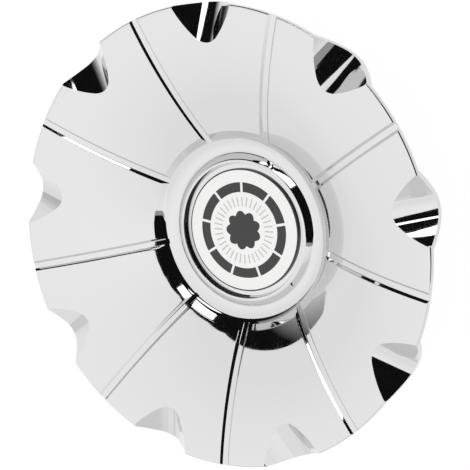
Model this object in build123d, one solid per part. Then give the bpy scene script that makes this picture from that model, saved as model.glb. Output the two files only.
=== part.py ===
from build123d import *
from math import acos, asin, atan, cos, degrees, hypot, radians, sin, sqrt, tan
import os

# Wheel centre cap: a dished, chrome-plated moulding with a sunken hub, an emblem disc set inside a raised lip,
# and a slotted snap skirt on the back with a spring wire ring inside its fingers.
# Millimetres. The axis of the wheel is Z, the face looks up +Z, and the finger tips stand on Z = 0.

# Overall: the rim height is measured to the front corner of the rim, before it is rounded
rim_radius = 115.0
rim_height = 55.0
wall = 3.0
rim_round = 1.2

# Face: one convex arc in section, from the rim down to the hub shoulder
face_arc_radius = 175.0
shoulder_radius = 51.0
shoulder_drop = 25.2

# Hub well
hub_drop = 31.5
hub_wall_angle = 48.0
hub_floor_fillet = 10.0
shoulder_fillet = 2.5

# Emblem, the groove around it and the lip that frames both
emblem_radius = 31.6
emblem_thickness = 1.5
emblem_edge_round = 0.4
groove_width = 2.3
lip_height = 3.4
lip_inner_run = 0.9
lip_crest = 1.4
lip_outer_run = 3.4
lip_inner_round = 0.4
lip_outer_round = 2.0
lip_foot_round = 2.0

# Nine spoke panels, parted by channels in the face, with a flute in the rim of each
panel_count = 9
channel_width = 5.2
channel_depth = 1.2
channel_wall_angle = 45.0
channel_floor_round = 0.6
flute_reach = 19.1
flute_depth = 12.9
flute_floor_radius = 11.0
flute_floor_angle = 34.0
flute_flank_radius = 54.0
flute_edge_round = 0.5

# Snap skirt on the back
skirt_radius = 53.0
skirt_wall = 2.5
finger_count = 9
finger_slot = 5.0
finger_root = 9.3
bead_height = 2.0
bead_land = 3.0

# Stiffening ribs from the skirt to the back of the face
rib_thickness = 2.0
rib_outer_radius = 96.0
rib_depth = 5.3

# Spring wire ring in the fingers
wire_radius = 1.5
wire_bite = 1.2
wire_clearance = 0.15
ring_gap = 12.0

# Levels and places worked out from the sizes above
floor_z = rim_height - hub_drop
shoulder_z = rim_height - shoulder_drop
panel_angle = 360.0 / panel_count
flute_start = 90 + panel_angle / 2
skirt_inner_radius = skirt_radius - skirt_wall
bead_radius = skirt_radius + bead_height
bead_mid_z = bead_height + bead_land / 2
groove_radius = emblem_radius + groove_width
hub_foot_radius = shoulder_radius - (shoulder_z - floor_z) / tan(radians(hub_wall_angle))
ring_radius = skirt_inner_radius + wire_bite - wire_radius


def face_arc_centre():
    """Centre of the face arc in the radial section, below and outside the rim."""
    run = rim_radius - shoulder_radius
    rise = rim_height - shoulder_z
    chord = hypot(run, rise)
    reach = sqrt(face_arc_radius**2 - (chord / 2) ** 2)
    mid_r = (rim_radius + shoulder_radius) / 2
    mid_z = (rim_height + shoulder_z) / 2
    return mid_r + reach * rise / chord, mid_z - reach * run / chord


arc_r, arc_z = face_arc_centre()


def face_height(radius, inset=0.0):
    """Height of the face at a radius, or of the surface a wall's thickness below it."""
    return arc_z + sqrt((face_arc_radius - inset) ** 2 - (arc_r - radius) ** 2)


# The slots and the ribs hang from where the skirt meets the back of the face
skirt_root_z = face_height(skirt_radius, wall)
finger_length = skirt_root_z - finger_root
rib_skirt_height = skirt_root_z - rib_depth


def wall_top(inset):
    """Where the hub wall, moved back by inset, meets the face arc moved back by inset."""
    lean = radians(hub_wall_angle)
    start_r = shoulder_radius + inset * sin(lean)
    start_z = shoulder_z - inset * cos(lean)
    off_r = start_r - arc_r
    off_z = start_z - arc_z
    along = off_r * cos(lean) + off_z * sin(lean)
    across = off_r**2 + off_z**2 - (face_arc_radius - inset) ** 2
    step = -along + sqrt(along**2 - across)
    return start_r + step * cos(lean), start_z + step * sin(lean)


def rounded(section, corner, radius):
    """A section with one of its corners rounded, or left sharp at radius 0."""
    if radius == 0:
        return section
    vertex = section.vertices().sort_by_distance(Vector(*corner))[0]
    return fillet(vertex, radius)


def dish_section(inset, floor_fillet, top_fillet, edge_round):
    """Half section of all that lies below the face, or below its back when inset is the wall."""
    top_r, top_z = wall_top(inset)
    low_z = floor_z - inset
    foot_r = top_r - (top_z - low_z) / tan(radians(hub_wall_angle))
    rim_z = face_height(rim_radius, inset)
    floor_line = Polyline((0, 0), (0, low_z), (foot_r, low_z), (top_r, top_z))
    face_line = RadiusArc((top_r, top_z), (rim_radius, rim_z), face_arc_radius - inset)
    under_line = Polyline((rim_radius, rim_z), (rim_radius, 0), (0, 0))
    section = make_face(floor_line + face_line + under_line)
    section = rounded(section, (foot_r, low_z), floor_fillet)
    section = rounded(section, (top_r, top_z), top_fillet)
    return rounded(section, (rim_radius, rim_z), edge_round)


def turned(section):
    """A half section, drawn as (radius, height), turned about the wheel's axis."""
    return revolve(Plane.XZ * section, Axis.Z)


def around(shape, count, start_angle):
    """Copies of a shape, drawn along +X, spaced evenly round the axis."""
    return [Rot(0, 0, start_angle + i * 360.0 / count) * shape for i in range(count)]


def flute_section(inset):
    """Trough section of three tangent arcs, a tight floor between two open flanks, grown by inset."""
    turn = radians(flute_floor_angle)
    spread = flute_flank_radius - flute_floor_radius
    centre_x = -spread * sin(turn)
    centre_y = flute_floor_radius + spread * cos(turn)
    radius = flute_flank_radius + inset
    top_y = flute_depth + flute_floor_radius + inset
    top_turn = acos((centre_y - top_y) / radius)
    places = (turn, (turn + top_turn) / 2, top_turn)
    right = [(centre_x + radius * sin(place), centre_y - radius * cos(place)) for place in places]
    left = [(-x, y) for x, y in right]
    floor_arc = ThreePointArc(left[0], (0, -inset), right[0])
    lid = Line(right[2], left[2])
    return make_face(floor_arc + ThreePointArc(*right) + lid + ThreePointArc(*left))


def flute_cutter(inset):
    """Trough that falls outward through the rim, grown by inset for the wall below it."""
    start_r = rim_radius - flute_reach
    start_z = face_height(start_r)
    fall = atan((flute_depth - (rim_height - start_z)) / flute_reach)
    plane = Plane(origin=(start_r, 0, start_z), x_dir=(0, 1, 0), z_dir=(cos(fall), 0, -sin(fall)))
    return extrude(plane * flute_section(inset), 2 * flute_reach, both=True)


def channel_cutter():
    """Shallow channel with sloped walls that follows the face arc from the rim to the hub wall."""
    half_top = channel_width / 2
    spread = tan(radians(90 - channel_wall_angle))
    low = face_arc_radius - channel_depth
    high = face_arc_radius + channel_depth
    low_half = half_top - channel_depth * spread
    high_half = half_top + channel_depth * spread
    outline = Polyline((-low_half, low), (low_half, low), (high_half, high), (-high_half, high), close=True)
    section = rounded(make_face(outline), (-low_half, low), channel_floor_round)
    section = rounded(section, (low_half, low), channel_floor_round)
    axis = Axis((arc_r, 0, arc_z), (0, 1, 0))
    section = Plane(origin=(arc_r, 0, arc_z), x_dir=(0, 1, 0), z_dir=(1, 0, 0)) * section
    inner_angle = degrees(asin((arc_r - hub_foot_radius) / face_arc_radius))
    outer_angle = degrees(asin((arc_r - rim_radius - channel_width) / face_arc_radius))
    return revolve(section.rotate(axis, -inner_angle), axis, inner_angle - outer_angle)


def lip():
    """Raised lip on the hub floor: steep inside, beside the groove, and a soft double curve outside."""
    crest_z = floor_z + lip_height
    crest_in = groove_radius + lip_inner_run
    crest_out = crest_in + lip_crest
    foot_out = crest_out + lip_outer_run
    foot_end = foot_out + 1.1 * lip_foot_round * tan(atan(lip_height / lip_outer_run) / 2)
    under_z = floor_z - wall / 2
    outline = Polyline(
        (groove_radius, under_z),
        (groove_radius, floor_z),
        (crest_in, crest_z),
        (crest_out, crest_z),
        (foot_out, floor_z),
        (foot_end, floor_z),
        (foot_end, under_z),
        close=True,
    )
    section = make_face(outline)
    section = rounded(section, (crest_in, crest_z), lip_inner_round)
    section = rounded(section, (crest_out, crest_z), lip_outer_round)
    return turned(rounded(section, (foot_out, floor_z), lip_foot_round))


def skirt():
    """Tube with a snap bead at its free end, slotted into fingers, with a groove inside for the wire."""
    top_z = rim_height
    outline = Polyline(
        (skirt_inner_radius, 0),
        (skirt_radius, 0),
        (bead_radius, bead_height),
        (bead_radius, bead_height + bead_land),
        (skirt_radius, 2 * bead_height + bead_land),
        (skirt_radius, top_z),
        (skirt_inner_radius, top_z),
        close=True,
    )
    tube = turned(make_face(outline))
    groove = Pos(0, 0, bead_mid_z) * Torus(ring_radius, wire_radius + wire_clearance)
    slot = Pos(skirt_radius, 0, 0) * Box(4 * skirt_wall + 2 * bead_height, finger_slot, 2 * finger_length)
    slots = around(slot, finger_count, 90 + 180.0 / finger_count)
    return tube - groove - slots


def rib():
    """One radial rib, wide at the skirt and running out under the face."""
    inner_r = skirt_radius - skirt_wall / 2
    top_z = rim_height
    end_z = face_height(rib_outer_radius, wall)
    outline = Polyline(
        (inner_r, rib_skirt_height),
        (rib_outer_radius, end_z),
        (rib_outer_radius, top_z),
        (inner_r, top_z),
        close=True,
    )
    return extrude(Plane.XZ * make_face(outline), rib_thickness / 2, both=True)


def fluted(solid):
    """The solid below the face with the flutes cut into it and their edges eased."""
    cutters = around(flute_cutter(0), panel_count, flute_start)
    cut = solid - cutters
    return fillet(new_edges(solid, *cutters, combined=cut), flute_edge_round)


def cap():
    """The whole moulding: shell, lip, ribs and snap skirt in one solid."""
    below_face = turned(dish_section(0, hub_floor_fillet, shoulder_fillet, rim_round))
    below_back = turned(dish_section(wall, hub_floor_fillet + wall, 0, 0))
    below_face = fluted(below_face)
    below_back = below_back - around(flute_cutter(wall), panel_count, flute_start)
    backing = skirt() + around(rib(), panel_count, 90)
    shell = below_face - below_back
    body = shell + (backing & below_face) + lip()
    return body - around(channel_cutter(), panel_count, 90)


def emblem():
    """Thin round insert that lies on the hub floor inside the lip."""
    disc = Pos(0, 0, floor_z + emblem_thickness / 2) * Cylinder(emblem_radius, emblem_thickness)
    return fillet(disc.edges().group_by(Axis.Z)[-1], emblem_edge_round)


def retaining_ring():
    """Open ring of round spring wire, seated in the groove inside the fingers."""
    gap_angle = degrees(ring_gap / ring_radius)
    section = Plane.XZ * Pos(ring_radius, bead_mid_z) * Circle(wire_radius)
    section = section.rotate(Axis.Z, 90 + gap_angle / 2)
    return revolve(section, Axis.Z, 360 - gap_angle)


os.makedirs("parts", exist_ok=True)
export_step(cap(), "parts/cap.step")
export_step(emblem(), "parts/emblem.step")
export_step(retaining_ring(), "parts/retaining_ring.step")
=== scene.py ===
"""A chrome wheel centre cap with its emblem and spring ring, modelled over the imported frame."""

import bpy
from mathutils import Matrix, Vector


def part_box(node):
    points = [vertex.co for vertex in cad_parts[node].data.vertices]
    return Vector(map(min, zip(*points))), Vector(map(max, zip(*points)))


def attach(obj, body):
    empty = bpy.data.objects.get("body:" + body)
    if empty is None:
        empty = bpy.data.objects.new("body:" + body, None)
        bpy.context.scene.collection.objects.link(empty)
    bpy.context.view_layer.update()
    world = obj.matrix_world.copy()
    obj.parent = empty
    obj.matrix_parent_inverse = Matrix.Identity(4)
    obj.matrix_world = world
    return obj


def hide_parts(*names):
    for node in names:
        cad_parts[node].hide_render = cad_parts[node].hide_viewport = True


bl_info = {
    "name": "Wheel centre cap",
    "version": (1, 0, 0),
    "blender": (4, 5, 0),
    "location": "3D View > Sidebar > Wheel Cap",
    "description": "Models a chrome wheel centre cap, its emblem and its spring ring in a white studio",
    "category": "Mesh",
}

from math import acos, asin, atan, atan2, cos, hypot, pi, radians, sin, sqrt, tan

import bpy
from bpy.props import FloatProperty, FloatVectorProperty, IntProperty, PointerProperty
from bpy.types import Operator, Panel, PropertyGroup

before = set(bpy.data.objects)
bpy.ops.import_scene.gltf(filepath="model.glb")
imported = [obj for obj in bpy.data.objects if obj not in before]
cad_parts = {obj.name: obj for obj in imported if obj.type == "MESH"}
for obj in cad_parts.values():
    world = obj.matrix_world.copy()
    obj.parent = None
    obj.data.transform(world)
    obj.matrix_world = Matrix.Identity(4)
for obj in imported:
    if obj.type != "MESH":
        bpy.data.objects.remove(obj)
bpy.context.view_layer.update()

MM = 0.001
cap_low, cap_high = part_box("cap")
emblem_low, emblem_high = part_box("emblem")
ring_low, ring_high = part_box("retaining_ring")


def srgb(hex_colour):
    """An sRGB hex colour as linear red, green and blue."""
    parts = [int(hex_colour[i : i + 2], 16) / 255 for i in (0, 2, 4)]
    return tuple(c / 12.92 if c <= 0.04045 else ((c + 0.055) / 1.055) ** 2.4 for c in parts)


def length(name, description, metres):
    """A property that holds a length."""
    return FloatProperty(name=name, description=description, default=metres, unit="LENGTH", precision=5)


def angle(name, description, turn):
    """A property that holds an angle, given in degrees."""
    return FloatProperty(name=name, description=description, default=radians(turn), subtype="ANGLE")


def colour(name, description, hex_colour):
    """A property that holds a colour, given as sRGB hex."""
    linear = srgb(hex_colour)
    return FloatVectorProperty(name=name, description=description, default=linear, subtype="COLOR")


def brightness(name, description, level):
    """A property that holds a brightness, where 1 is white in the picture."""
    return FloatProperty(name=name, description=description, default=level, min=0)


class CapSizes(PropertyGroup):
    """Sizes of the moulded cap."""

    rim_radius: length("Rim radius", "Outer radius of the cap", cap_high.x)
    rim_height: length("Rim height", "Front corner of the rim above the finger tips", 55 * MM)
    wall: length("Wall", "Thickness of the moulding", 3 * MM)
    rim_round: length("Rim round", "Rounding of the rim's front edge", 1.2 * MM)
    face_arc: length("Face arc", "Radius of the face in section", 175 * MM)
    shoulder_radius: length("Shoulder radius", "Where the face breaks into the hub well", 51 * MM)
    shoulder_drop: length("Shoulder drop", "Shoulder below the rim", 25.2 * MM)
    shoulder_fillet: length("Shoulder fillet", "Rounding of the shoulder", 2.5 * MM)
    hub_drop: length("Hub drop", "Hub floor below the rim", 31.5 * MM)
    hub_wall_angle: angle("Hub wall angle", "Slope of the hub wall", 48)
    hub_fillet: length("Hub fillet", "Rounding between the hub wall and its floor", 10 * MM)
    groove_width: length("Groove width", "Gap between the emblem and the lip", 2.3 * MM)
    lip_height: length("Lip height", "Crest of the lip above the hub floor", 3.4 * MM)
    lip_inner_run: length("Lip inner run", "Width of the lip's steep inner side", 0.9 * MM)
    lip_crest: length("Lip crest", "Width of the lip's crest", 1.4 * MM)
    lip_outer_run: length("Lip outer run", "Width of the lip's outer slope", 3.4 * MM)
    lip_inner_round: length("Lip inner round", "Rounding of the crest beside the groove", 0.4 * MM)
    lip_outer_round: length("Lip outer round", "Rounding of the crest towards the hub wall", 2 * MM)
    lip_foot_round: length("Lip foot round", "Rounding at the foot of the lip", 2 * MM)
    panel_count: IntProperty(name="Panels", description="Spoke panels round the face", default=9, min=3)
    channel_width: length("Channel width", "Width of a channel between two panels", 5.2 * MM)
    channel_depth: length("Channel depth", "Depth of a channel", 1.2 * MM)
    channel_floor_round: length("Channel floor round", "Rounding of a channel's floor corners", 0.6 * MM)
    channel_edge_round: length("Channel edge round", "Rounding of a channel's edges", 0.5 * MM)
    flute_reach: length("Flute reach", "How far a flute reaches in from the rim", 19.1 * MM)
    flute_depth: length("Flute depth", "Depth of a flute at the rim", 12.9 * MM)
    flute_floor: length("Flute floor", "Radius of a flute's floor", 11 * MM)
    flute_floor_angle: angle("Flute floor angle", "Half angle of a flute's floor arc", 34)
    flute_flank: length("Flute flank", "Radius of a flute's flanks", 54 * MM)
    skirt_radius: length("Skirt radius", "Outer radius of the snap skirt", 53 * MM)
    skirt_wall: length("Skirt wall", "Thickness of the snap skirt", 2.5 * MM)
    bead_height: length("Bead height", "How far the snap bead stands out", 2 * MM)
    bead_land: length("Bead land", "Width of the snap bead's crest", 3 * MM)
    finger_slot: length("Finger slot", "Width of a slot between two fingers", 5 * MM)
    finger_root: length("Finger root", "Unslotted height of the skirt", 9.3 * MM)
    groove_clearance: length("Groove clearance", "Gap between the wire and its groove", 0.15 * MM)
    rib_thickness: length("Rib thickness", "Thickness of a rib", 2 * MM)
    rib_depth: length("Rib depth", "Depth of a rib at the skirt", 5.3 * MM)
    rib_outer_radius: length("Rib outer radius", "Where a rib runs out", 96 * MM)
    spin_steps: IntProperty(name="Spin steps", description="Faces across one panel", default=48, min=8)
    face_steps: IntProperty(name="Face steps", description="Faces along the face arc", default=44, min=8)


class EmblemSizes(PropertyGroup):
    """Sizes of the emblem disc and its print."""

    radius: length("Radius", "Outer radius of the disc", emblem_high.x)
    edge_round: length("Edge round", "Rounding of the disc's front edge", 0.4 * MM)
    # Width of the painted shadow line round the disc's edge, which stands in for the shaded gap beside the
    # disc
    painted_edge_shadow: length("Edge line", "Width of the dark line round the disc's edge", 0.8 * MM)
    band_inner: length("Band inner radius", "Inside of the dark printed band", 19.6 * MM)
    band_outer: length("Band outer radius", "Outside of the dark printed band", 24.6 * MM)
    band_gap: length("Band gap", "White gap between two lengths of the band", 1.3 * MM)
    rosette_radius: length("Rosette radius", "Radius of the dark rosette between its petals", 8.2 * MM)
    rosette_wave: length("Rosette wave", "How far the rosette's petals stand out", 1.9 * MM)
    ray_inner: length("Ray inner radius", "Where the fine rays start", 12.4 * MM)
    ray_outer: length("Ray outer radius", "Where the fine rays end", 17.2 * MM)


class RingSizes(PropertyGroup):
    """Sizes of the spring wire ring."""

    wire_radius: length("Wire radius", "Radius of the wire", (ring_high.z - ring_low.z) / 2)
    gap: length("Gap", "Open gap of the ring", 12 * MM)
    end_round: length("End round", "Rounding of the wire's cut ends", 0.4 * MM)


class Finishes(PropertyGroup):
    """Colours of the cap's finishes."""

    chrome: colour("Chrome", "Decorative chrome plate", "d7d7d7")
    emblem_white: colour("Emblem white", "White ground of the emblem", "e6e6e5")
    # The emblem grey also colours the painted shadow line round the emblem's edge
    emblem_grey: colour("Emblem grey", "Dark print of the emblem", "2a2a2b")
    emblem_silver: colour("Emblem silver", "Fine rays of the emblem", "b9b9b8")
    spring_steel: colour("Spring steel", "Drawn steel wire", "8c8d90")


class Studio(PropertyGroup):
    """The camera and the light round the cap."""

    lens: FloatProperty(name="Lens", description="Focal length in mm on a 36 mm frame", default=107.1)
    camera_place: FloatVectorProperty(
        name="Camera place",
        description="Where the camera stands",
        default=(0.38119, -0.00334, 0.62059),
        subtype="TRANSLATION",
        unit="LENGTH",
    )
    camera_turn: FloatVectorProperty(
        name="Camera turn",
        description="How the camera is turned about X, Y and Z",
        default=(radians(-12.2377), radians(30.9006), radians(-23.2765)),
        subtype="EULER",
    )
    tent_light: brightness("Tent light", "Brightness of the tent overhead", 1.187)
    table_light: brightness("Table light", "Brightness of the table and the horizon", 1.0)
    lamp_light: brightness("Lamp light", "Brightness of the lamps in the dark side", 2.2)
    lamp_distance: length("Lamp distance", "How far the lamps stand from the cap", 4.0)
    dome_radius: length("Dome radius", "How far the curtains hang from the cap", 9.3)
    table_radius: length("Table radius", "Radius of the white table", 10.0)
    panel_height: length("Panel height", "Height of the overhead panel", 1.55)


class WheelCap(PropertyGroup):
    """All that can be set on the wheel cap."""

    cap: PointerProperty(type=CapSizes)
    emblem: PointerProperty(type=EmblemSizes)
    ring: PointerProperty(type=RingSizes)
    finishes: PointerProperty(type=Finishes)
    studio: PointerProperty(type=Studio)


class Pen:
    """Draws a closed section in the XZ plane, as (across, up), and leaves it as one face."""

    def __init__(self, name, across, up):
        bpy.ops.object.select_all(action="DESELECT")
        bpy.ops.mesh.primitive_plane_add(size=MM, location=(across, 0, up))
        bpy.ops.object.transform_apply(location=True)
        self.piece = bpy.context.object
        self.piece.name = name
        self.across, self.up = across, up
        bpy.ops.object.mode_set(mode="EDIT")
        bpy.ops.mesh.select_mode(type="VERT")
        bpy.ops.mesh.merge(type="CENTER")

    def line(self, across, up):
        """A straight edge to a new point."""
        move = (across - self.across, 0, up - self.up)
        bpy.ops.mesh.extrude_region_move(TRANSFORM_OT_translate={"value": move})
        self.across, self.up = across, up

    def arc(self, centre, across, up, steps):
        """A round stretch about a centre, to a new point."""
        start = atan2(self.up - centre[1], self.across - centre[0])
        end = atan2(up - centre[1], across - centre[0])
        bpy.ops.mesh.spin(steps=steps, angle=end - start, center=(centre[0], 0, centre[1]), axis=(0, 1, 0))
        self.across, self.up = across, up

    def fill(self):
        """Closes the outline and fills it with a face."""
        bpy.ops.mesh.select_all(action="SELECT")
        bpy.ops.mesh.edge_face_add()
        bpy.ops.object.mode_set(mode="OBJECT")
        return self.piece


def round_corner(piece, across, up, radius, segments):
    """Rounds the corner of a section that is nearest to a place."""
    mesh = piece.data
    corner = min(mesh.vertices, key=lambda v: hypot(v.co.x - across, v.co.z - up)).index
    place = mesh.vertices[corner].co
    ends = [i for edge in mesh.edges if corner in edge.vertices for i in edge.vertices if i != corner]
    first, second = (mesh.vertices[i].co - place for i in ends)
    turn = pi - first.angle(second)
    select_vertices(piece, lambda v: v.index == corner)
    bpy.ops.mesh.bevel(affect="VERTICES", offset=radius * tan(turn / 2), segments=segments)
    bpy.ops.object.mode_set(mode="OBJECT")


def activate(piece):
    """Makes a piece the only one that is selected, and the active one."""
    bpy.ops.object.select_all(action="DESELECT")
    piece.select_set(True)
    bpy.context.view_layer.objects.active = piece


def select_vertices(piece, test):
    """Opens a piece in edit mode with only the vertices that pass a test selected."""
    activate(piece)
    bpy.ops.object.mode_set(mode="EDIT")
    bpy.ops.mesh.select_mode(type="VERT")
    bpy.ops.mesh.select_all(action="DESELECT")
    bpy.ops.object.mode_set(mode="OBJECT")
    for vertex in piece.data.vertices:
        vertex.select = test(vertex)
    bpy.ops.object.mode_set(mode="EDIT")


def select_faces(piece, test):
    """Opens a piece in edit mode with only the faces that pass a test selected."""
    activate(piece)
    bpy.ops.object.mode_set(mode="EDIT")
    bpy.ops.mesh.select_mode(type="FACE")
    bpy.ops.mesh.select_all(action="DESELECT")
    bpy.ops.object.mode_set(mode="OBJECT")
    for face in piece.data.polygons:
        face.select = test(face)
    bpy.ops.object.mode_set(mode="EDIT")


def edit_all(piece):
    """Opens a piece in edit mode with everything selected."""
    activate(piece)
    bpy.ops.object.mode_set(mode="EDIT")
    bpy.ops.mesh.select_all(action="SELECT")


def turn_about_axis(piece, turn):
    """Turns a piece's mesh about the wheel's axis, by an angle in radians."""
    edit_all(piece)
    bpy.ops.transform.rotate(value=-turn, orient_axis="Z", center_override=(0, 0, 0))
    bpy.ops.object.mode_set(mode="OBJECT")


def spin_about_axis(piece, span, steps):
    """Spins a filled section about the wheel's axis into a wedge centred on +X."""
    edit_all(piece)
    bpy.ops.mesh.spin(steps=steps, angle=span, center=(0, 0, 0), axis=(0, 0, 1))
    bpy.ops.mesh.select_all(action="SELECT")
    bpy.ops.mesh.remove_doubles(threshold=0.001 * MM)
    bpy.ops.mesh.normals_make_consistent(inside=False)
    bpy.ops.object.mode_set(mode="OBJECT")
    turn_about_axis(piece, span / 2)


def extrude_across(piece, depth):
    """Pulls a section in the XZ plane out to both sides along Y."""
    edit_all(piece)
    bpy.ops.transform.translate(value=(0, -depth / 2, 0))
    bpy.ops.mesh.extrude_region_move(TRANSFORM_OT_translate={"value": (0, depth, 0)})
    bpy.ops.mesh.select_all(action="SELECT")
    bpy.ops.mesh.normals_make_consistent(inside=False)
    bpy.ops.object.mode_set(mode="OBJECT")


def copy_of(piece):
    """A copy of a piece with a mesh of its own."""
    activate(piece)
    bpy.ops.object.duplicate(linked=False)
    return bpy.context.object


def carve(piece, tool):
    """Cuts a tool out of a piece and takes the tool away."""
    activate(piece)
    bpy.ops.object.modifier_add(type="BOOLEAN")
    cut = piece.modifiers[-1]
    cut.operation = "DIFFERENCE"
    cut.solver = "MANIFOLD"
    cut.object = tool
    bpy.ops.object.modifier_apply(modifier=cut.name)
    activate(tool)
    bpy.ops.object.delete()
    activate(piece)


def carve_both_sides(piece, tool, turn):
    """Cuts a tool along +X out of a piece at an angle to both sides."""
    far_tool = copy_of(tool)
    turn_about_axis(tool, turn)
    turn_about_axis(far_tool, -turn)
    carve(piece, tool)
    carve(piece, far_tool)


def add_node(tree, kind, inputs=None, **settings):
    """Adds a node with its settings, and sets or links its inputs."""
    node = tree.nodes.new(kind)
    for name, value in settings.items():
        setattr(node, name, value)
    for name, value in (inputs or {}).items():
        if isinstance(value, bpy.types.NodeSocket):
            tree.links.new(value, node.inputs[name])
        else:
            node.inputs[name].default_value = value
    return node


def new_material(name):
    """A node material with only its output, and that output."""
    material = bpy.data.materials.new(name)
    material.use_nodes = True
    material.node_tree.nodes.clear()
    output = material.node_tree.nodes.new("ShaderNodeOutputMaterial")
    return material, material.node_tree, output


def chrome_plate(look):
    """Decorative chrome over moulded ABS, polished by the mould: a near mirror with a slight long wave."""
    material, tree, output = new_material("chrome_plated_abs")
    place = add_node(tree, "ShaderNodeTexCoord").outputs["Object"]
    # The plate follows sink marks about 14 mm long in the moulding
    wave = add_node(tree, "ShaderNodeTexNoise", {"Vector": place, "Scale": 1 / (14 * MM), "Detail": 1.0})
    bump = add_node(
        tree,
        "ShaderNodeBump",
        {"Height": wave.outputs["Fac"], "Strength": 1.0, "Distance": 0.02 * MM},
    )
    # Handling haze in patches of about 6 mm, a little duller than the rest
    haze = add_node(tree, "ShaderNodeTexNoise", {"Vector": place, "Scale": 1 / (6 * MM), "Detail": 4.0})
    rough = add_node(
        tree,
        "ShaderNodeMapRange",
        {"Value": haze.outputs["Fac"], "From Min": 0.35, "From Max": 0.75, "To Min": 0.02, "To Max": 0.06},
    )
    shader = add_node(
        tree,
        "ShaderNodeBsdfPrincipled",
        {
            "Base Color": (*look.chrome, 1),
            "Metallic": 1.0,
            "Roughness": rough.outputs["Result"],
            "Normal": bump.outputs["Normal"],
        },
    )
    tree.links.new(shader.outputs["BSDF"], output.inputs["Surface"])
    return material


def satin_plate(look):
    """The same plate over the unpolished back of the mould: a fine spark grain that scatters the light."""
    material, tree, output = new_material("satin_plated_abs")
    place = add_node(tree, "ShaderNodeTexCoord").outputs["Object"]
    # Spark grain of about 0.6 mm, drawn coarser than the real 0.1 mm so that it shows
    grain = add_node(tree, "ShaderNodeTexNoise", {"Vector": place, "Scale": 1 / (0.6 * MM), "Detail": 2.0})
    bump = add_node(
        tree,
        "ShaderNodeBump",
        {"Height": grain.outputs["Fac"], "Strength": 0.35, "Distance": 0.06 * MM},
    )
    patch = add_node(tree, "ShaderNodeTexNoise", {"Vector": place, "Scale": 1 / (18 * MM), "Detail": 3.0})
    rough = add_node(
        tree,
        "ShaderNodeMapRange",
        {"Value": patch.outputs["Fac"], "From Min": 0.3, "From Max": 0.7, "To Min": 0.26, "To Max": 0.4},
    )
    shader = add_node(
        tree,
        "ShaderNodeBsdfPrincipled",
        {
            "Base Color": (*look.chrome, 1),
            "Metallic": 1.0,
            "Roughness": rough.outputs["Result"],
            "Normal": bump.outputs["Normal"],
        },
    )
    tree.links.new(shader.outputs["BSDF"], output.inputs["Surface"])
    return material


def drawn_steel(look):
    """Drawn spring steel wire: grey, half dull, with faint draw lines along its length."""
    material, tree, output = new_material("drawn_spring_steel")
    place = add_node(tree, "ShaderNodeTexCoord").outputs["Object"]
    # Draw lines 0.25 mm apart run round the ring, so they vary with height and radius only
    split = add_node(tree, "ShaderNodeSeparateXYZ", {"Vector": place})
    flat = add_node(tree, "ShaderNodeVectorMath", {0: place, 1: (1, 1, 0)}, operation="MULTIPLY")
    radius = add_node(tree, "ShaderNodeVectorMath", {0: flat.outputs["Vector"]}, operation="LENGTH")
    across = add_node(tree, "ShaderNodeCombineXYZ", {"X": radius.outputs["Value"], "Y": split.outputs["Z"]})
    lines = add_node(
        tree,
        "ShaderNodeTexNoise",
        {"Vector": across.outputs["Vector"], "Scale": 1 / (0.25 * MM), "Detail": 1.0},
    )
    rough = add_node(
        tree,
        "ShaderNodeMapRange",
        {"Value": lines.outputs["Fac"], "From Min": 0.3, "From Max": 0.7, "To Min": 0.22, "To Max": 0.42},
    )
    shader = add_node(
        tree,
        "ShaderNodeBsdfPrincipled",
        {"Base Color": (*look.spring_steel, 1), "Metallic": 1.0, "Roughness": rough.outputs["Result"]},
    )
    tree.links.new(shader.outputs["BSDF"], output.inputs["Surface"])
    return material


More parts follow.
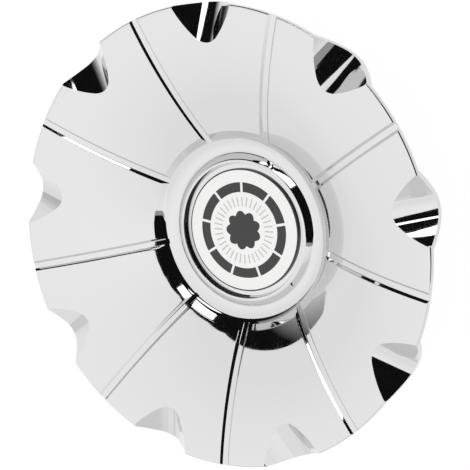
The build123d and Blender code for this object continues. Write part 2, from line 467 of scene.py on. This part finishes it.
def printed_emblem(look, sizes, panels):
    """Screen print under clear lacquer: matt ink with a smooth gloss over it, and a dark line round the
    edge that is painted shadow of the gap beside the disc.
    """
    material, tree, output = new_material("printed_lacquered_disc")
    place = add_node(tree, "ShaderNodeTexCoord").outputs["Object"]
    split = add_node(tree, "ShaderNodeSeparateXYZ", {"Vector": place})
    flat = add_node(tree, "ShaderNodeVectorMath", {0: place, 1: (1, 1, 0)}, operation="MULTIPLY")
    from_axis = add_node(tree, "ShaderNodeVectorMath", {0: flat.outputs["Vector"]}, operation="LENGTH")
    # Ink film wears a little unevenly, in specks of about 0.8 mm
    speck = add_node(tree, "ShaderNodeTexNoise", {"Vector": place, "Scale": 1 / (0.8 * MM), "Detail": 3.0})
    values = {
        "x": split.outputs["X"],
        "y": split.outputs["Y"],
        "radius": from_axis.outputs["Value"],
        "speck": speck.outputs["Fac"],
    }
    step = 2 * pi / panels
    ray_step = step / 4
    ray_half_width = 0.35 * MM
    # Each row is a value's name, the operation that makes it, and the values or numbers it is made from
    rows = (
        ("bearing", "ARCTAN2", "y", "x"),
        # Rosette in the middle, with one petal to a panel
        ("half_waves", "MULTIPLY", "bearing", panels / 2),
        ("wave", "COSINE", "half_waves"),
        ("petals", "ABSOLUTE", "wave"),
        ("rosette_edge", "MULTIPLY_ADD", "petals", sizes.rosette_wave, sizes.rosette_radius),
        ("rosette", "LESS_THAN", "radius", "rosette_edge"),
        # Dark band, with one length to a panel
        ("band_turn", "ADD", "bearing", 2 * pi + step / 4),
        ("band_side", "PINGPONG", "band_turn", step / 2),
        ("band_arc", "MULTIPLY", "band_side", "radius"),
        ("clear_of_gap", "GREATER_THAN", "band_arc", sizes.band_gap / 2),
        ("past_inner", "GREATER_THAN", "radius", sizes.band_inner),
        ("inside_outer", "LESS_THAN", "radius", sizes.band_outer),
        ("in_band", "MULTIPLY", "past_inner", "inside_outer"),
        ("band", "MULTIPLY", "in_band", "clear_of_gap"),
        # Fine rays between them, four to a panel
        ("ray_turn", "ADD", "bearing", 2 * pi),
        ("ray_side", "PINGPONG", "ray_turn", ray_step / 2),
        ("ray_arc", "MULTIPLY", "ray_side", "radius"),
        ("thin", "LESS_THAN", "ray_arc", ray_half_width),
        ("past_start", "GREATER_THAN", "radius", sizes.ray_inner),
        ("before_end", "LESS_THAN", "radius", sizes.ray_outer),
        ("in_rays", "MULTIPLY", "past_start", "before_end"),
        ("rays", "MULTIPLY", "in_rays", "thin"),
        # Dark line right round the disc's edge: painted shadow of the narrow gap between the disc and the
        # groove, not print
        ("painted_edge_shadow", "GREATER_THAN", "radius", sizes.radius - sizes.painted_edge_shadow),
        ("shapes", "MAXIMUM", "rosette", "band"),
        ("dark", "MAXIMUM", "shapes", "painted_edge_shadow"),
        ("shade", "MULTIPLY_ADD", "speck", 0.08, 0.96),
    )
    for name, operation, *sources in rows:
        inputs = {i: values.get(source, source) for i, source in enumerate(sources)}
        values[name] = add_node(tree, "ShaderNodeMath", inputs, operation=operation).outputs[0]
    pale_mix = {0: values["rays"], 6: (*look.emblem_white, 1), 7: (*look.emblem_silver, 1)}
    ground = add_node(tree, "ShaderNodeMix", pale_mix, data_type="RGBA")
    # The dark print and the painted edge shadow both take the emblem grey
    print_and_shadow_mix = {0: values["dark"], 6: ground.outputs[2], 7: (*look.emblem_grey, 1)}
    inks_and_edge_shadow = add_node(tree, "ShaderNodeMix", print_and_shadow_mix, data_type="RGBA")
    worn_mix = {0: inks_and_edge_shadow.outputs[2], "Scale": values["shade"]}
    film = add_node(tree, "ShaderNodeVectorMath", worn_mix, operation="SCALE")
    shader = add_node(
        tree,
        "ShaderNodeBsdfPrincipled",
        {
            "Base Color": film.outputs["Vector"],
            "Roughness": 0.45,
            "Specular IOR Level": 0.0,
            "Coat Weight": 1.0,
            "Coat Roughness": 0.03,
        },
    )
    tree.links.new(shader.outputs["BSDF"], output.inputs["Surface"])
    return material


def lit_surface(name, glow, white=0.0):
    """A plain surface of the studio that glows evenly and also scatters some of the light it gets."""
    material, tree, output = new_material(name)
    light = add_node(tree, "ShaderNodeEmission", {"Color": (1, 1, 1, 1), "Strength": glow})
    matt = add_node(tree, "ShaderNodeBsdfDiffuse", {"Color": (white, white, white, 1)})
    both = add_node(tree, "ShaderNodeAddShader", {0: light.outputs[0], 1: matt.outputs[0]})
    tree.links.new(both.outputs[0], output.inputs["Surface"])
    return material


def graded_cloth(name, weights, offset, start, end):
    """Cloth whose light changes with a weighted distance, between two (distance, light) pairs."""
    material, tree, output = new_material(name)
    place = add_node(tree, "ShaderNodeTexCoord").outputs["Object"]
    scaling = {0: place, 1: weights, 2: offset}
    weighted = add_node(tree, "ShaderNodeVectorMath", scaling, operation="MULTIPLY_ADD")
    distance = add_node(tree, "ShaderNodeVectorMath", {0: weighted.outputs["Vector"]}, operation="LENGTH")
    light = add_node(
        tree,
        "ShaderNodeMapRange",
        {
            "Value": distance.outputs["Value"],
            "From Min": start[0],
            "From Max": end[0],
            "To Min": start[1],
            "To Max": end[1],
        },
    )
    shader = add_node(tree, "ShaderNodeEmission", {"Strength": light.outputs["Result"]})
    tree.links.new(shader.outputs[0], output.inputs["Surface"])
    return material


def face_arc_centre(size):
    """Centre of the face arc in section, below and outside the rim."""
    run = size.rim_radius - size.shoulder_radius
    rise = size.shoulder_drop
    chord = hypot(run, rise)
    reach = sqrt(size.face_arc**2 - (chord / 2) ** 2)
    mid_across = (size.rim_radius + size.shoulder_radius) / 2
    mid_up = size.rim_height - rise / 2
    return mid_across + reach * rise / chord, mid_up - reach * run / chord


def face_height(size, radius, inset=0.0):
    """Height of the face at a radius, or of its back when inset is the wall."""
    across, up = face_arc_centre(size)
    return up + sqrt((size.face_arc - inset) ** 2 - (across - radius) ** 2)


def hub_foot(size):
    """Radius at which the hub wall would meet the hub floor."""
    return size.shoulder_radius - (size.hub_drop - size.shoulder_drop) / tan(size.hub_wall_angle)


def cap_section(size, groove_radius, ring_radius, seat_radius):
    """Section of the cap from axis to rim, hollow inside the skirt and still solid behind the face."""
    floor = size.rim_height - size.hub_drop
    shoulder = size.rim_height - size.shoulder_drop
    foot = hub_foot(size)
    crest_in = groove_radius + size.lip_inner_run
    crest_out = crest_in + size.lip_crest
    lip_foot = crest_out + size.lip_outer_run
    crest = floor + size.lip_height
    back = floor - size.wall
    lean = size.hub_wall_angle
    wall_across = size.shoulder_radius + size.wall * sin(lean)
    wall_up = shoulder - size.wall * cos(lean)
    back_foot = wall_across - (wall_up - back) / tan(lean)
    inside = size.skirt_radius - size.skirt_wall
    seat_up = size.bead_height + size.bead_land / 2
    half_seat = sqrt(seat_radius**2 - (inside - ring_radius) ** 2)
    pen = Pen("cap_sector", 0, back)
    pen.line(0, floor)
    pen.line(groove_radius, floor)
    pen.line(crest_in, crest)
    pen.line(crest_out, crest)
    pen.line(lip_foot, floor)
    pen.line(foot, floor)
    pen.line(size.shoulder_radius, shoulder)
    pen.arc(face_arc_centre(size), size.rim_radius, size.rim_height, steps=size.face_steps)
    pen.line(size.rim_radius, 0)
    pen.line(inside, 0)
    pen.line(inside, seat_up - half_seat)
    pen.arc((ring_radius, seat_up), inside, seat_up + half_seat, steps=10)
    pen.line(inside, wall_up - (wall_across - inside) * tan(lean))
    pen.line(back_foot, back)
    section = pen.fill()
    round_corner(section, crest_in, crest, size.lip_inner_round, segments=5)
    round_corner(section, crest_out, crest, size.lip_outer_round, segments=6)
    round_corner(section, lip_foot, floor, size.lip_foot_round, segments=6)
    round_corner(section, foot, floor, size.hub_fillet, segments=18)
    round_corner(section, size.shoulder_radius, shoulder, size.shoulder_fillet, segments=7)
    round_corner(section, size.rim_radius, size.rim_height, size.rim_round, segments=6)
    round_corner(section, back_foot, back, size.hub_fillet + size.wall * 0.8, segments=10)
    return section


def outer_core_section(size):
    """The space behind the face, outside the snap skirt."""
    beyond = size.rim_radius + 2 * size.wall
    below = -2 * size.wall
    bead = size.skirt_radius + size.bead_height
    centre = face_arc_centre(size)
    pen = Pen("outer_core", size.skirt_radius, face_height(size, size.skirt_radius, size.wall))
    pen.arc(centre, beyond, face_height(size, beyond, size.wall), steps=24)
    pen.line(beyond, below)
    pen.line(size.skirt_radius, below)
    pen.line(size.skirt_radius, 0)
    pen.line(bead, size.bead_height)
    pen.line(bead, size.bead_height + size.bead_land)
    pen.line(size.skirt_radius, 2 * size.bead_height + size.bead_land)
    return pen.fill()


def flute_tool(size, inset):
    """Trough of three tangent arcs along +X that falls out through the rim, grown by inset for the wall."""
    start = size.rim_radius - size.flute_reach
    start_up = face_height(size, start)
    fall = atan((size.flute_depth - (size.rim_height - start_up)) / size.flute_reach)
    lean = size.flute_floor_angle
    spread = size.flute_flank - size.flute_floor
    centre = -spread * sin(lean)
    centre_up = size.flute_floor + spread * cos(lean)
    radius = size.flute_flank + inset
    side = centre + radius * sin(lean)
    side_up = centre_up - radius * cos(lean)
    top_up = size.flute_depth + size.flute_floor + inset
    top = centre + radius * sin(acos((centre_up - top_up) / radius))
    pen = Pen("flute_tool", -top, top_up)
    pen.arc((-centre, centre_up), -side, side_up, steps=16)
    pen.arc((0, size.flute_floor), side, side_up, steps=30)
    pen.arc((centre, centre_up), top, top_up, steps=16)
    tool = pen.fill()
    extrude_across(tool, 4 * size.flute_reach)
    tool.rotation_mode = "ZYX"
    tool.rotation_euler = (0, fall, radians(90))
    tool.location = (start, 0, start_up)
    bpy.ops.object.transform_apply(location=True, rotation=True)
    return tool


def channel_tool(size):
    """Shallow trough along +X with sloped walls, bent to the face arc."""
    across, up = face_arc_centre(size)
    half = size.channel_width / 2
    depth = size.channel_depth
    low = size.face_arc - depth
    level = size.face_arc
    # Above the face the tool flares a little, so that the channel's edges can be rounded
    flare = 3 * depth
    high = level + flare * tan(radians(7))
    pen = Pen("channel_tool", depth - half, low)
    pen.line(half - depth, low)
    pen.line(half, level)
    pen.line(half + flare, high)
    pen.line(half + flare, high + depth)
    pen.line(-half - flare, high + depth)
    pen.line(-half - flare, high)
    pen.line(-half, level)
    tool = pen.fill()
    for side in (-1, 1):
        round_corner(tool, side * (half - depth), low, size.channel_floor_round, segments=4)
        round_corner(tool, side * half, level, size.channel_edge_round, segments=4)
    tool.location = (across, 0, up)
    tool.rotation_euler = (0, 0, radians(90))
    bpy.ops.object.transform_apply(location=True, rotation=True)
    inner = asin((across - hub_foot(size)) / size.face_arc)
    outer = asin((across - size.rim_radius - size.channel_width) / size.face_arc)
    edit_all(tool)
    bpy.ops.transform.rotate(value=inner, orient_axis="Y", center_override=(across, 0, up))
    bpy.ops.mesh.spin(steps=size.face_steps, angle=outer - inner, center=(across, 0, up), axis=(0, 1, 0))
    bpy.ops.mesh.select_all(action="SELECT")
    bpy.ops.mesh.normals_make_consistent(inside=False)
    bpy.ops.object.mode_set(mode="OBJECT")
    return tool


def rib_tool(size):
    """Radial rib along +X, deep at the skirt and running out under the face."""
    inner = size.skirt_radius - size.skirt_wall / 2
    outer = size.rib_outer_radius
    pen = Pen("rib_tool", inner, face_height(size, size.skirt_radius, size.wall) - size.rib_depth)
    pen.line(outer, face_height(size, outer, size.wall))
    pen.line(outer, size.rim_height)
    pen.line(inner, size.rim_height)
    tool = pen.fill()
    extrude_across(tool, size.rib_thickness)
    return tool


def slot_tool(size):
    """Box along +X that parts two fingers of the skirt."""
    reach = 4 * size.skirt_wall + 2 * size.bead_height
    height = face_height(size, size.skirt_radius, size.wall) - size.finger_root
    bpy.ops.object.select_all(action="DESELECT")
    bpy.ops.mesh.primitive_cube_add(size=1, location=(size.skirt_radius, 0, 0))
    tool = bpy.context.object
    tool.scale = (reach, size.finger_slot, 2 * height)
    bpy.ops.object.transform_apply(location=True, scale=True)
    return tool


class WHEELCAP_OT_moulding(Operator):
    """Chrome cap: one panel is spun and carved, then copied round the axis and joined"""

    bl_idname = "wheelcap.moulding"
    bl_label = "Moulding"

    def execute(self, context):
        settings = context.scene.wheel_cap
        size = settings.cap
        step = 2 * pi / size.panel_count
        floor = size.rim_height - size.hub_drop
        groove_radius = settings.emblem.radius + size.groove_width
        ring_radius = ring_high.x - settings.ring.wire_radius
        seat_radius = settings.ring.wire_radius + size.groove_clearance

        cap = cap_section(size, groove_radius, ring_radius, seat_radius)
        spin_about_axis(cap, step, steps=size.spin_steps)
        carve(cap, flute_tool(size, 0.0))

        # The core behind the face reaches past the sector on both sides
        overlap = radians(1.5)
        outer_core = outer_core_section(size)
        spin_about_axis(outer_core, step + 2 * overlap, steps=size.spin_steps // 2)
        carve(outer_core, flute_tool(size, size.wall))
        carve_both_sides(outer_core, rib_tool(size), step / 2)
        carve(cap, outer_core)
        carve(cap, slot_tool(size))
        carve_both_sides(cap, channel_tool(size), step / 2)

        # The cut sides of the sector are opened, so that the copies join into one skin
        def on_cut_side(face):
            places = [cap.data.vertices[i].co for i in face.vertices]
            offsets = [[abs(p.x * sin(s) - p.y * cos(s)) for p in places] for s in (step / 2, -step / 2)]
            return any(max(side) < 0.002 * MM for side in offsets)

        select_faces(cap, on_cut_side)
        bpy.ops.mesh.delete(type="FACE")
        bpy.ops.object.mode_set(mode="OBJECT")
        turn_about_axis(cap, pi / 2 + step / 2)
        copies = []
        for i in range(1, size.panel_count):
            copies.append(copy_of(cap))
            turn_about_axis(copies[-1], i * step)
        activate(cap)
        for copy in copies:
            copy.select_set(True)
        bpy.ops.object.join()
        edit_all(cap)
        # The copies are joined, and slivers that the cuts leave are cleared
        bpy.ops.mesh.remove_doubles(threshold=0.01 * MM)
        bpy.ops.mesh.dissolve_degenerate(threshold=0.05 * MM)
        bpy.ops.object.mode_set(mode="OBJECT")
        heights = [vertex.co.z for vertex in cap.data.vertices]
        if max(cap_low.z - min(heights), max(heights) - cap_high.z) > 0.1 * MM:
            raise RuntimeError("a cut left the moulding outside the cap's height")
        cap.name = "cap_moulding"
        bpy.ops.object.shade_smooth_by_angle(angle=radians(28))
        bpy.ops.object.modifier_add(type="WEIGHTED_NORMAL")
        cap.modifiers[-1].keep_sharp = True
        bpy.ops.object.modifier_apply(modifier=cap.modifiers[-1].name)

        cap.data.materials.clear()
        cap.data.materials.append(chrome_plate(settings.finishes))
        cap.data.materials.append(satin_plate(settings.finishes))
        # The back, the skirt and the ribs are left unpolished
        for face in cap.data.polygons:
            if face.normal.z < -0.05 or face.center.z < floor - size.wall:
                face.material_index = 1
        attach(cap, "root")
        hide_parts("cap")
        return {"FINISHED"}


class WHEELCAP_OT_emblem(Operator):
    """Printed disc that lies inside the lip"""

    bl_idname = "wheelcap.emblem"
    bl_label = "Emblem"

    def execute(self, context):
        settings = context.scene.wheel_cap
        size = settings.emblem
        thickness = emblem_high.z - emblem_low.z
        middle = (emblem_high.z + emblem_low.z) / 2
        bpy.ops.object.select_all(action="DESELECT")
        bpy.ops.mesh.primitive_cylinder_add(
            vertices=180, radius=size.radius, depth=thickness, location=(0, 0, middle)
        )
        bpy.ops.object.transform_apply(location=True)
        disc = bpy.context.object
        disc.name = "emblem_disc"
        select_vertices(disc, lambda v: v.co.z > middle)
        bpy.ops.mesh.bevel(offset=size.edge_round, segments=4)
        bpy.ops.object.mode_set(mode="OBJECT")
        bpy.ops.object.shade_smooth_by_angle(angle=radians(35))
        disc.data.materials.clear()
        disc.data.materials.append(printed_emblem(settings.finishes, size, settings.cap.panel_count))
        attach(disc, "root")
        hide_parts("emblem")
        return {"FINISHED"}


class WHEELCAP_OT_retaining_ring(Operator):
    """Open ring of spring wire in the groove of the fingers"""

    bl_idname = "wheelcap.retaining_ring"
    bl_label = "Retaining ring"

    def execute(self, context):
        settings = context.scene.wheel_cap
        size = settings.ring
        ring_radius = ring_high.x - size.wire_radius
        middle = (ring_low.z + ring_high.z) / 2
        gap = size.gap / ring_radius
        bpy.ops.object.select_all(action="DESELECT")
        bpy.ops.mesh.primitive_circle_add(
            vertices=24,
            radius=size.wire_radius,
            fill_type="NGON",
            location=(ring_radius, 0, middle),
            rotation=(radians(90), 0, 0),
        )
        bpy.ops.object.transform_apply(location=True, rotation=True)
        ring = bpy.context.object
        ring.name = "spring_ring"
        edit_all(ring)
        bpy.ops.mesh.spin(steps=170, angle=2 * pi - gap, center=(0, 0, 0), axis=(0, 0, 1))
        bpy.ops.mesh.select_all(action="SELECT")
        bpy.ops.mesh.normals_make_consistent(inside=False)
        bpy.ops.object.mode_set(mode="OBJECT")
        select_faces(ring, lambda face: len(face.vertices) > 4)
        bpy.ops.mesh.bevel(offset=size.end_round, segments=3)
        bpy.ops.object.mode_set(mode="OBJECT")
        turn_about_axis(ring, pi / 2 - gap / 2)
        bpy.ops.object.shade_smooth_by_angle(angle=radians(35))
        ring.data.materials.clear()
        ring.data.materials.append(drawn_steel(settings.finishes))
        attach(ring, "root")
        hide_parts("retaining_ring")
        return {"FINISHED"}


class WHEELCAP_OT_stage(Operator):
    """White table, overhead panel, curtains, lamps and the camera"""

    bl_idname = "wheelcap.stage"
    bl_label = "Stage"

    def execute(self, context):
        scene = context.scene
        studio = scene.wheel_cap.studio
        scene.view_settings.view_transform = "Standard"
        self.white_tent(scene, studio)
        self.white_table(studio)
        self.overhead_panel(studio)
        self.curtains(studio)
        self.lamps(studio)
        bpy.ops.object.camera_add(location=studio.camera_place, rotation=studio.camera_turn)
        camera = context.object
        camera.data.lens = studio.lens
        camera.data.sensor_width = 36
        scene.camera = camera
        return {"FINISHED"}

    def reflected_only(self, piece):
        """Keeps a studio surface out of direct view, so that it shows only in the chrome."""
        piece.visible_camera = False
        piece.visible_diffuse = False
        piece.visible_shadow = False

    def white_tent(self, scene, studio):
        """Sky of the studio: even overhead, and fading to the table's brightness at the horizon."""
        world = bpy.data.worlds.new("white_tent")
        scene.world = world
        world.use_nodes = True
        tree = world.node_tree
        way = add_node(tree, "ShaderNodeTexCoord").outputs["Generated"]
        split = add_node(tree, "ShaderNodeSeparateXYZ", {"Vector": way})
        light = add_node(
            tree,
            "ShaderNodeMapRange",
            {
                "Value": split.outputs["Z"],
                "From Min": 0.0,
                "From Max": 0.8,
                "To Min": studio.table_light,
                "To Max": studio.tent_light,
            },
            interpolation_type="SMOOTHSTEP",
        )
        tree.nodes["Background"].inputs["Color"].default_value = (1, 1, 1, 1)
        tree.links.new(light.outputs["Result"], tree.nodes["Background"].inputs["Strength"])

    def white_table(self, studio):
        """Table that the cap lies on, with only a faint shadow."""
        bpy.ops.object.select_all(action="DESELECT")
        bpy.ops.mesh.primitive_circle_add(vertices=96, radius=studio.table_radius, fill_type="NGON")
        table = bpy.context.object
        table.name = "table"
        # Nearly all of its light is its own, so that the cap's shadow stays faint
        own_light = studio.table_light - 0.07
        reflected_share = 0.08
        table.data.materials.append(lit_surface("white_table", own_light, reflected_share))

    def overhead_panel(self, studio):
        """Diffuser over the cap with one rounded corner, drawn from above in metres."""
        edge, near_end, far_end = 0.753, -3.2, -8.2
        corner_start = ((edge, 0.12), (0.726, 0.345), (0.628, 0.684), (0.436, 1.013))
        corner_end = ((0.157, 1.331), (-0.244, 1.6), (-0.788, 1.72))
        side = ((-2.352, 2.026), (-4.8, 2.48), (far_end, 3.6), (far_end, near_end))
        pen = Pen("overhead_panel", edge, near_end)
        for across, along in corner_start + corner_end + side:
            pen.line(across, along)
        panel = pen.fill()
        panel.rotation_euler = (radians(-90), 0, 0)
        panel.location = (0, 0, studio.panel_height)
        bpy.ops.object.transform_apply(location=True, rotation=True)
        # Its light falls off evenly from the middle of an oval to the oval's edge
        oval, shift, loss = (0.12, 0.71, 0), (-0.035, 0.18, 0), 0.145
        lights = ((0, studio.tent_light), (1, studio.tent_light - loss))
        panel.data.materials.append(graded_cloth("diffuser_cloth", oval, shift, *lights))
        self.reflected_only(panel)

    def curtains(self, studio):
        """Curtains on a dome round the cap, dark on one side and pale on the other."""
        black = lit_surface("black_curtain", 0.006)
        grey = lit_surface("grey_curtain", 0.4)
        footed = self.dome_cloth("pale_footed_curtain", studio, (64, 0.006), (86, 0.85))
        shaded = self.dome_cloth("shaded_curtain", studio, (66, 1.085), (78, 0.84))
        # Name, bearings and angles from overhead in degrees, and cloth
        patches = (
            ("dark_side", (-42, 112), (18, 86), black),
            ("grey_side", (-46.5, -42), (44, 68), grey),
            ("dark_end", (112, 146), (30, 88), footed),
            ("dark_corner", (146, 157), (68, 88), footed),
            ("pale_side", (-140, -46.5), (66, 90), shaded),
            ("pale_foot", (-180, -140), (85, 90), shaded),
        )
        for name, bearings, polar, cloth in patches:
            self.dome_patch(name, studio.dome_radius, bearings, polar, cloth)

    def dome_cloth(self, name, studio, start, end):
        """Cloth whose light changes down the dome, between two (angle from overhead, light) pairs."""
        pairs = [(studio.dome_radius * cos(radians(turn)), light) for turn, light in (start, end)]
        return graded_cloth(name, (0, 0, 1), (0, 0, 0), *pairs)

    def lamps(self, studio):
        """Two oval lamps in front of the dark side."""
        cloth = lit_surface("lamp_cloth", studio.lamp_light)
        # Name, then bearing and angle from overhead, half sizes and tilt in degrees
        ovals = (("side_lamp", (52, 67), (24.5, 5.2), 13), ("high_lamp", (62, 46.5), (16.5, 4.8), 0))
        for name, way, half_sizes, tilt in ovals:
            self.oval_lamp(name, studio.lamp_distance, way, half_sizes, tilt, cloth)

    def oval_lamp(self, name, distance, way, half_sizes, tilt, cloth):
        """An oval lamp that faces the cap, from its bearing and angle from overhead, in degrees."""
        bearing, polar = (radians(turn) for turn in way)
        across, up = (distance * tan(radians(half)) for half in half_sizes)
        bpy.ops.object.select_all(action="DESELECT")
        bpy.ops.mesh.primitive_circle_add(vertices=96, radius=1, fill_type="NGON")
        lamp = bpy.context.object
        lamp.name = name
        lamp.scale = (up, across, 1)
        bpy.ops.object.transform_apply(scale=True)
        lamp.rotation_euler = (0, 0, radians(-tilt))
        bpy.ops.object.transform_apply(rotation=True)
        flat = distance * sin(polar)
        lamp.location = (flat * cos(bearing), flat * sin(bearing), distance * cos(polar))
        lamp.rotation_euler = (0, polar, bearing)
        bpy.ops.object.transform_apply(location=True, rotation=True)
        lamp.data.materials.append(cloth)
        self.reflected_only(lamp)

    def dome_patch(self, name, radius, bearings, polar, material):
        """A patch of a dome, between two bearings and two angles from overhead, in degrees."""
        start, end = (radians(turn) for turn in polar)
        pen = Pen(name, radius * sin(start), radius * cos(start))
        pen.arc((0, 0), radius * sin(end), radius * cos(end), steps=60)
        bpy.ops.object.mode_set(mode="OBJECT")
        spin_about_axis(pen.piece, radians(bearings[1] - bearings[0]), steps=120)
        turn_about_axis(pen.piece, radians(bearings[0] + bearings[1]) / 2)
        pen.piece.data.materials.append(material)
        self.reflected_only(pen.piece)


class WHEELCAP_PT_panel(Panel):
    """The cap's pieces and their settings"""

    bl_idname = "WHEELCAP_PT_panel"
    bl_label = "Wheel Cap"
    bl_space_type = "VIEW_3D"
    bl_region_type = "UI"
    bl_category = "Wheel Cap"

    def draw(self, context):
        settings = context.scene.wheel_cap
        groups = (
            ("wheelcap.moulding", settings.cap),
            ("wheelcap.emblem", settings.emblem),
            ("wheelcap.retaining_ring", settings.ring),
            ("wheelcap.stage", settings.studio),
            (None, settings.finishes),
        )
        for operator, group in groups:
            box = self.layout.box()
            if operator:
                box.operator(operator)
            for name in group.bl_rna.properties.keys():
                if name not in ("rna_type", "name"):
                    box.prop(group, name)


CLASSES = (
    CapSizes,
    EmblemSizes,
    RingSizes,
    Finishes,
    Studio,
    WheelCap,
    WHEELCAP_OT_moulding,
    WHEELCAP_OT_emblem,
    WHEELCAP_OT_retaining_ring,
    WHEELCAP_OT_stage,
    WHEELCAP_PT_panel,
)


def register():
    for cls in CLASSES:
        bpy.utils.register_class(cls)
    bpy.types.Scene.wheel_cap = PointerProperty(type=WheelCap)


def unregister():
    del bpy.types.Scene.wheel_cap
    for cls in reversed(CLASSES):
        bpy.utils.unregister_class(cls)


def main():
    register()
    bpy.ops.wheelcap.moulding()
    bpy.ops.wheelcap.emblem()
    bpy.ops.wheelcap.retaining_ring()
    bpy.ops.wheelcap.stage()


if __name__ == "__main__":
    main()
